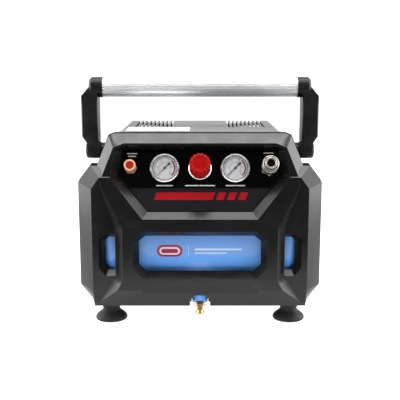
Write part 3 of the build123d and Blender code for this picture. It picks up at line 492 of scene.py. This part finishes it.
def lettering(bm, text, size, x, y, z, material):
    """Numerals as raised print, centred on (x, y); sizes in mm."""
    curve = bpy.data.curves.new("numeral", "FONT")
    curve.body = text
    curve.size = size
    curve.extrude = NUMERAL_DEPTH / 2
    curve.align_x = "CENTER"
    curve.align_y = "CENTER"
    curve.resolution_u = 3
    o = bpy.data.objects.new("numeral", curve)
    bpy.context.scene.collection.objects.link(o)
    mesh = bpy.data.meshes.new_from_object(o.evaluated_get(bpy.context.evaluated_depsgraph_get()))
    mesh.transform(Matrix.Translation((x, y, z)))
    mesh.transform(Matrix.Scale(1 / MM, 4))
    start = len(bm.faces)
    bm.from_mesh(mesh)
    bm.faces.ensure_lookup_table()
    for f in bm.faces[start:]:
        f.material_index = material
    bpy.data.objects.remove(o)
    bpy.data.curves.remove(curve)
    bpy.data.meshes.remove(mesh)


def scale_angle(step, steps):
    """The angle of one of the even steps along the scale."""
    return SCALE_START + SCALE_SWEEP * step / steps


def gauge_face(word, x):
    """A printed dial: a black ring at its edge as painted shade of the gap under the bezel, two scales,
    numerals, a red zone and small print as plain bars.
    """
    bm = lathe(DIAL_PLATE, 128, material=PAPER)
    whole_scale = (SCALE_START, SCALE_START + SCALE_SWEEP)
    # painted shade: a black ring round the dial's edge stands in for the shadowed gap under the bezel
    arc_band(bm, (17.3, 18.0), (0, 360), BLACK, 90)
    arc_band(bm, (15.4, 15.9), whole_scale, BLACK)
    arc_band(bm, (13.6, 15.2), (scale_angle(RED_FROM, 1), whole_scale[1]), RED)
    ticks = (len(MARKS) - 1) * TICKS_PER_MARK
    for i in range(ticks + 1):
        a = math.radians(scale_angle(i, ticks))
        r0, w = SHORT_TICK if i % TICKS_PER_MARK else LONG_TICK
        c, s = math.cos(a), math.sin(a)
        pts = [(r0, -w), (TICK_END, -w), (TICK_END, w), (r0, w)]
        ring = [(r * c - v * s, r * s + v * c) for r, v in pts]
        top = [bm.verts.new((px / MM, py / MM, PRINT_HIGH / MM)) for px, py in ring]
        f = bm.faces.new(top)
        f.material_index = BLACK
    for i, text in enumerate(MARKS):
        a = math.radians(scale_angle(i, len(MARKS) - 1))
        lettering(bm, text, 3.6, 10.6 * math.cos(a), 11.0 * math.sin(a), PRINT_HIGH, BLACK)
    arc_band(bm, (8.1, 8.5), whole_scale, BLACK, 40)
    for i in range(DOTS):
        a = scale_angle(i, DOTS - 1)
        arc_band(bm, (7.2, 8.2), (a - DOT_HALF_ANGLE, a + DOT_HALF_ANGLE), GREY, 1)
    bar(bm, -2.6, 2.6, -11.2, -10.2, PRINT_LOW, PRINT_HIGH, GREY)
    bar(bm, -1.7, 1.7, -12.9, -12.1, PRINT_LOW, PRINT_HIGH, GREY)
    piece(f"{word}_dial_face", bm, DIAL_INKS, "housing", panel_matrix(x), smooth=False,
          replaces=[f"{word}_gauge_dial"])


gauge_face("tank", -GAUGE_X)
gauge_face("outlet", GAUGE_X)

# ------------------------------------------------------------------ captions on the panel
CAPTION_HEIGHT, WORD_GAP, INK_DEPTH = 1.7, 1.1, 0.06         # mm
# Each caption: its middle across and up the panel, and the widths of its words, all in mm.
CAPTIONS = ((-FITTING_X * MM + 1.5, 22.6, [14.5]), (-FITTING_X * MM + 1.5, 18.6, [11.5]),
            (FITTING_X * MM, 23.6, [15.0]), (-GAUGE_X * MM, -25.4, [10.2, 12.6]), (0, -25.4, [20.0, 22.6]),
            (GAUGE_X * MM, -25.4, [14.6, 12.6]))


def caption(bm, x, y, words):
    """A line of small caption text, shown only as short plain bars."""
    at = x - (sum(words) + WORD_GAP * (len(words) - 1)) / 2
    for width in words:
        bar(bm, at, at + width, y - CAPTION_HEIGHT / 2, y + CAPTION_HEIGHT / 2, 0.0, INK_DEPTH)
        at += width + WORD_GAP


def panel_print():
    """All captions, lying on the face label."""
    bm = bmesh.new()
    for x, y, words in CAPTIONS:
        caption(bm, x, y, words)
    piece("panel_captions", bm, ["caption"], "housing", panel_matrix(0, 0.00002), smooth=False)


panel_print()

# ------------------------------------------------------------------ feet
FOOT_TREAD = [(0, 2.0), (8, 2.0), (9, 1.0), (10.2, 1.0), (11.2, 2.0), (14.5, 2.0), (15.5, 1.0), (16.7, 1.0),
              (17.7, 2.0), (18.6, 2.0), (19.6, 0.02), (22.6, 0.02)]
FOOT_SIDE = [(23.6, 1.1), (23.98, 3.3), (22.3, 6.6), (18.6, 9.8), (15.2, 12.4), (13.2, 14.9), (12.5, 17.2),
             (12.5, 18.4), (13.0, 19.0), (13.6, 19.4), (13.6, 27.9)]


def foot(node):
    """A rubber suction foot: a ringed tread, a flared skirt and a grooved neck."""
    low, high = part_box(node)
    middle = (low + high) / 2
    top = (0, FOOT_SIDE[-1][1])
    bm = lathe(rounded(FOOT_TREAD + FOOT_SIDE + [top], 1.4))
    piece(f"{node}_rubber", bm, ["foot"], "housing",
          Matrix.Translation((middle.x, middle.y, low.z)), replaces=[node])


for corner in ("front_left", "front_right", "rear_left", "rear_right"):
    foot(f"{corner}_foot")

# ------------------------------------------------------------------ fittings on the panel
# Profiles are (radius, height) points in mm, from the panel outwards.
FLUTES, FLUTE_DEPTH, FLUTES_FROM, FLUTE_RUN_IN = 16, 1.5, 7.4, 2.0
CROWN_EDGE = 12.0                            # radius inside which the knob's crown has no flutes


def fluted(angle, radius, height):
    """Finger grooves down the side of the knob, dying out at its skirt and crown."""
    if radius < CROWN_EDGE or height < FLUTES_FROM:
        return radius
    ramp = min(1.0, (height - FLUTES_FROM) / FLUTE_RUN_IN)
    groove = (0.5 + 0.5 * math.cos(FLUTES * angle)) ** 2
    return radius - FLUTE_DEPTH * ramp * groove


def toothed(teeth, depth, beyond):
    """A wave for lathe: teeth on the parts that stand out beyond a radius."""
    def wave(angle, radius, height):
        return radius - (depth * (0.5 + 0.5 * math.cos(teeth * angle)) if radius > beyond else 0.0)
    return wave


def regulator():
    """The fluted knob and the coin-edged nut that holds the regulator to the panel."""
    skirt = [(0, 5.3), (13.2, 5.3), (15.2, 5.3), (15.6, 5.9), (15.6, 7.2), (15.5, 8.2)]
    side = [(15.55, 9.6 + 2.2 * i) for i in range(10)]
    crown = [(15.4, 31.2), (14.9, 32.6), (13.8, 33.7), (12.3, 34.2), (11.3, 34.2), (10.8, 33.7), (10.4, 33.4),
             (7.0, 33.6), (3.4, 33.75), (0, 33.8)]
    bm = lathe(skirt + side + crown, 288, wave=fluted)
    piece("regulator_grip", bm, ["red"], "knob", panel_matrix(0), replaces=["regulator_knob"])
    nut = [(12.3, 0.12), (17.0, 0.12), (17.6, 0.5), (17.6, 3.2), (17.0, 3.9), (16.2, 4.6), (15.2, 4.8),
           (12.3, 4.8), (12.3, 0.12)]
    bm = lathe(nut, 240, wave=toothed(48, 0.35, beyond=17.4))
    piece("regulator_nut", bm, ["chrome"], "housing", panel_matrix(0), replaces=["regulator_ring"])


def safety_valve():
    """The domed pull cap; the brass body round it is the CAD node."""
    cap = [(0, 9.2), (1.9, 9.2), (1.9, 17.2), (5.3, 17.2), (5.7, 17.7), (5.7, 22.6), (5.3, 23.6), (4.6, 24.2),
           (3.6, 24.5), (3.1, 24.3), (2.4, 24.0), (1.1, 23.9), (0.8, 23.4), (0, 23.4)]
    bm = lathe(rounded(cap, 0.4, 3), 72)
    piece("safety_pull_cap", bm, ["cap"], "safety_cap", panel_matrix(-FITTING_X),
          replaces=["safety_valve_cap"])


def hexagonal(bm, flats, z0, z1, bore):
    """A hexagon nut with rounded corners and a chamfered top, open in the middle."""
    def wave(angle, radius, height):
        if radius < bore + 0.2:
            return radius
        local = (angle + math.pi / 6) % (math.pi / 3) - math.pi / 6
        return min(radius, flats / 2 / math.cos(local))
    corner = flats / 2 / math.cos(math.pi / 6)
    profile = [(bore, z0), (flats / 2 * 1.02, z0), (corner - 0.4, z0 + 0.7), (corner - 0.4, z1 - 1.1),
               (flats / 2 - 0.2, z1), (bore, z1), (bore, z0)]
    lathe(profile, 144, bm, wave=wave)


def coupler():
    """The coupler's core, its sliding sleeve and the stop at the bottom of the socket."""
    place = panel_matrix(FITTING_X)
    core = [(8.6, 6.8), (8.95, 7.4), (8.95, 34.6), (8.2, 35.9), (6.6, 35.9), (5.9, 35.2), (5.65, 34.2)]
    socket = [(5.65, 34.2), (5.65, 26.4), (6.1, 26.0), (6.1, 24.6), (5.65, 24.2), (5.65, 23.6)]
    stem = [(8.15, 6.8), (8.15, -13.8), (6.6, -13.8)]
    bm = bmesh.new()
    hexagonal(bm, 21.8, 0.15, 7.0, 8.0)
    lathe(core, 96, bm)
    lathe(socket, 96, bm, 1)
    lathe(stem, 64, bm)
    piece("coupler_core", bm, ["nickel", "brass_dull"], "housing", place, replaces=["coupler_body"])
    sleeve = [(9.08, 11.6), (11.2, 11.6), (11.7, 12.2), (12.25, 12.8), (12.25, 22.8), (11.9, 23.6),
              (11.1, 24.2), (11.0, 26.0), (11.4, 26.6), (11.95, 27.0), (11.95, 31.8), (11.6, 32.8),
              (10.8, 33.5), (9.08, 33.5)]
    bm = lathe(rounded(sleeve, 0.35, 3) + sleeve[:1], 160, wave=toothed(40, 0.28, beyond=12.15))
    piece("coupler_grip_sleeve", bm, ["nickel"], "sleeve", place, replaces=["coupler_sleeve"])
    stop = [(0, 19.2), (2.2, 19.2), (2.6, 19.9), (2.6, 21.6), (3.4, 22.4), (5.3, 22.4), (5.3, 20.2),
            (6.1, 20.2), (6.1, 23.1), (5.4, 23.2)]
    seal = [(5.4, 23.2), (3.9, 23.2), (3.4, 22.6), (3.0, 21.2), (3.0, 20.0), (0, 20.0)]
    bm = lathe(stop, 64)
    lathe(seal, 64, bm, 1)
    piece("coupler_stop", bm, ["brass_dull", "dark"], "socket_valve", place,
          replaces=["coupler_valve"])


regulator()
safety_valve()
coupler()

# ------------------------------------------------------------------ print on tank, panel and cover
TANK_BAND_X = (0.100, 0.135)                 # where the tank's rolled ends lie, either side of the middle
TANK_BAND_PROUD = 0.0009
TANK_GRAPHIC_HEIGHT = -12.5                  # mm along the skin from its foremost line to the print's middle
FIRST_INK, MORE_INK = 0.00012, 0.00006       # how far the first layer of ink and each further one stand out
STRIPES, STRIPE_HEIGHTS, STRIPE_LEAN = ((-63, 22), (27, 38), (43, 54), (59, 70)), (-46.5, -35.5), 4.0
STRIPE_DEPTHS = (-0.5, -0.40)
ROOF_LABEL = (-112, -16, -84, -26)           # mm: left, right, front, back
ROOF_LAYERS = ((0.0, 0.0001, 0), (2.2, 0.00016, 1), (2.7, 0.00022, 0))       # mm inset, lift in m, material


def rounded_sheet(bm, x0, x1, y0, y1, radius, place, material=0, rows=28):
    """A thin printed shape with rounded corners; place(x, y) puts a point in mm onto a surface in metres."""
    middle, half = (x0 + x1) / 2, (x1 - x0) / 2
    last = None
    for i in range(rows + 1):
        y = y0 + (y1 - y0) * (1 - math.cos(math.pi * i / rows)) / 2
        near = min(y - y0, y1 - y)
        dip = radius - math.sqrt(max(0.0, radius ** 2 - (radius - near) ** 2)) if near < radius else 0.0
        pair = [bm.verts.new(place(middle - half + dip, y)), bm.verts.new(place(middle + half - dip, y))]
        if last:
            f = bm.faces.new((last[0], last[1], pair[1], pair[0]))
            f.material_index = material
        last = pair


def tank_frame():
    """The tank's middle line and radius, from its rolled ends, which stand a little proud."""
    rim = [v.co for v in NODES["tank"].data.vertices if TANK_BAND_X[0] < abs(v.co.x) < TANK_BAND_X[1]]
    y0, y1 = min(c.y for c in rim), max(c.y for c in rim)
    z0, z1 = min(c.z for c in rim), max(c.z for c in rim)
    return (y0 + y1) / 2, (z0 + z1) / 2, (y1 - y0) / 2 - TANK_BAND_PROUD


def tank_print():
    """A plain red badge, a dividing line and two pale stripes on the front of the tank."""
    axis_y, axis_z, radius = tank_frame()

    def layer(count):
        skin = radius + FIRST_INK + MORE_INK * count

        def place(x, y):
            a = (y + TANK_GRAPHIC_HEIGHT) / MM / radius
            return (x / MM, axis_y - skin * math.cos(a), axis_z + skin * math.sin(a))
        return place

    red, white = 0, 1
    bm = bmesh.new()
    rounded_sheet(bm, -64, -26, -9.5, 9.5, 9.5, layer(0), red)
    rounded_sheet(bm, -60.5, -29.5, -6.2, 6.2, 6.2, layer(1), white)
    rounded_sheet(bm, -57.5, -32.5, -3.4, 3.4, 3.4, layer(2), red)
    rounded_sheet(bm, -17.6, -17.0, -9.5, 9.5, 0.2, layer(0), white)
    rounded_sheet(bm, -8, 62, 1.0, 4.0, 1.5, layer(0), white)
    rounded_sheet(bm, -8, 40, -4.5, -2.5, 1.0, layer(0), white)
    piece("tank_badge", bm, ["badge_red", "badge_white"], "housing")


def panel_stripes():
    """Plain red stripes with slanted ends, on the lower part of the panel."""
    bm = bmesh.new()
    for x0, x1 in STRIPES:
        bar(bm, x0 - STRIPE_LEAN, x1 - STRIPE_LEAN, *STRIPE_HEIGHTS, *STRIPE_DEPTHS, shear=STRIPE_LEAN)
    piece("panel_stripes", bm, ["stripe_red"], "housing", panel_matrix(0), smooth=False)


def roof_label():
    """A blank pale label with a thin grey border on the top cover."""
    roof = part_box("top_cover")[1].z
    left, right, front, back = ROOF_LABEL
    bm = bmesh.new()
    for inset, lift, material in ROOF_LAYERS:
        rounded_sheet(bm, left + inset, right - inset, front + inset, back - inset, 3.0,
                      lambda x, y: (x / MM, y / MM, roof + lift), material, rows=16)
    piece("roof_label", bm, ["label_paper", "ink_grey"], "housing", smooth=False)


tank_print()
panel_stripes()
roof_label()

# ------------------------------------------------------------------ floor, light, camera
FLOOR_HALF = 40.0
FLAG_NEAR, FLAG_FAR = (0.40, -0.46), (0.62, -1.9)            # the cloth's ends: half width and place in y
FLAG_LOW, FLAG_HIGH = 0.004, 1.1
SKY = (0.12, 0.35, 2.0, 0.24)                # heights between which it darkens; brightness below and above
# Each light: place, where it points, size, power in watts.
TOP_LIGHT = ((0, 0.05, 1.75), (0, 0.05, 0), (1.3, 1.5), 50)
SIDE_LIGHT = ((0.72, -0.05, 0.52), (0, -0.05, 0.2), (1.1, 1.1), 18)
FRONT_LIGHT = ((1.25, -1.25, 1.1), (0, 0, 0.15), (0.6, 0.6), 4)
LOW_FILL = ((0, -0.62, 0.03), (0, -0.1, 0.10), (0.9, 0.2), 3)
CAMERA_PLACE, CAMERA_DOWN = (0.0, -1.270, 0.4036), 10.8      # metres; degrees below the horizon
SENSOR_WIDTH, LENS = 36.0, 71.1              # mm


def staged(name, bm, material):
    """Turns a bmesh into a piece of the studio, which is not part of the object."""
    mesh = bpy.data.meshes.new(name)
    bm.to_mesh(mesh)
    bm.free()
    mesh.materials.append(material)
    o = bpy.data.objects.new(name, mesh)
    bpy.context.scene.collection.objects.link(o)
    return o


def stage_floor():
    """A wide plain pale paper floor."""
    bm = bmesh.new()
    bmesh.ops.create_grid(bm, x_segments=8, y_segments=8, size=FLOOR_HALF)
    s = Shader("floor_paper")
    paper = s.clouded(s.noise(3.0, 3.0), (0.34, 0.34, 0.34), (0.36, 0.36, 0.36))
    s.bsdf.inputs["Emission Color"].default_value = (1, 1, 1, 1)
    s.bsdf.inputs["Emission Strength"].default_value = 1.0
    staged("floor", bm, s.finish(paper, 0.9, s.bump(s.noise(200.0), 0.05, 0.0002), specular=0.0))


def dark_flag():
    """Black cloth on the ground and upright in front of the object, to keep its flat fronts black.

    It shows in reflections and takes its share of the diffuse light; the camera sees through it, it throws no
    shadow from the lamps, and it doesn't show through glass."""
    bm = bmesh.new()
    (near_half, near), (far_half, far) = FLAG_NEAR, FLAG_FAR
    ground = [(-near_half, near, FLAG_LOW), (near_half, near, FLAG_LOW), (far_half, far, FLAG_LOW),
              (-far_half, far, FLAG_LOW)]
    wall = [(-far_half, far, FLAG_LOW), (far_half, far, FLAG_LOW), (far_half, far, FLAG_HIGH),
            (-far_half, far, FLAG_HIGH)]
    for corners in (ground, wall):
        bm.faces.new([bm.verts.new(c) for c in corners])
    s = Shader("flag_cloth")
    cloth = s.mix(s.noise(40.0), (0.010, 0.010, 0.010), (0.016, 0.016, 0.016))
    o = staged("flag", bm, s.finish(cloth, 0.95, s.bump(s.noise(300.0), 0.1, 0.0002), specular=0.0))
    for ray in ("camera", "shadow", "transmission"):
        setattr(o, f"visible_{ray}", False)


def area(name, place, target, size, power, side=1):
    """A rectangular lamp turned towards a target; side -1 puts it on the left instead of the right."""
    place = Vector((side * place[0], place[1], place[2]))
    light = bpy.data.lights.new(name, "AREA")
    light.shape = "RECTANGLE"
    light.size, light.size_y = size
    light.energy = power
    o = bpy.data.objects.new(name, light)
    o.location = place
    o.rotation_euler = (Vector(target) - place).to_track_quat("-Z", "Y").to_euler()
    o.visible_camera = False
    bpy.context.scene.collection.objects.link(o)
    return o


def studio():
    """Pale surroundings that darken upwards; soft boxes overhead, at both sides and at the front corners."""
    world = bpy.data.worlds.new("studio")
    world.use_nodes = True
    bpy.context.scene.world = world
    tree = world.node_tree
    coords = tree.nodes.new("ShaderNodeTexCoord")
    split = tree.nodes.new("ShaderNodeSeparateXYZ")
    tree.links.new(coords.outputs["Generated"], split.inputs["Vector"])
    rise = tree.nodes.new("ShaderNodeMapRange")
    rise.interpolation_type = "SMOOTHSTEP"
    set_range(rise, SKY)
    tree.links.new(split.outputs["Z"], rise.inputs["Value"])
    background = tree.nodes["Background"]
    background.inputs["Color"].default_value = (1, 1, 1, 1)
    tree.links.new(rise.outputs["Result"], background.inputs["Strength"])
    area("top_light", *TOP_LIGHT)
    for side, word in ((-1, "left"), (1, "right")):
        area(f"{word}_light", *SIDE_LIGHT, side)
        area(f"{word}_front_light", *FRONT_LIGHT, side)
    area("low_fill", *LOW_FILL).visible_glossy = False


def camera():
    """The camera at the photograph's place, looking a little down."""
    data = bpy.data.cameras.new("camera")
    data.sensor_width = SENSOR_WIDTH
    data.lens = LENS
    data.clip_end = 50
    o = bpy.data.objects.new("camera", data)
    o.location = CAMERA_PLACE
    o.rotation_euler = (math.radians(90 - CAMERA_DOWN), 0, 0)
    bpy.context.scene.collection.objects.link(o)
    bpy.context.scene.camera = o


stage_floor()
dark_flag()
studio()
camera()
bpy.context.scene.view_settings.view_transform = "Standard"

bpy.context.view_layer.update()
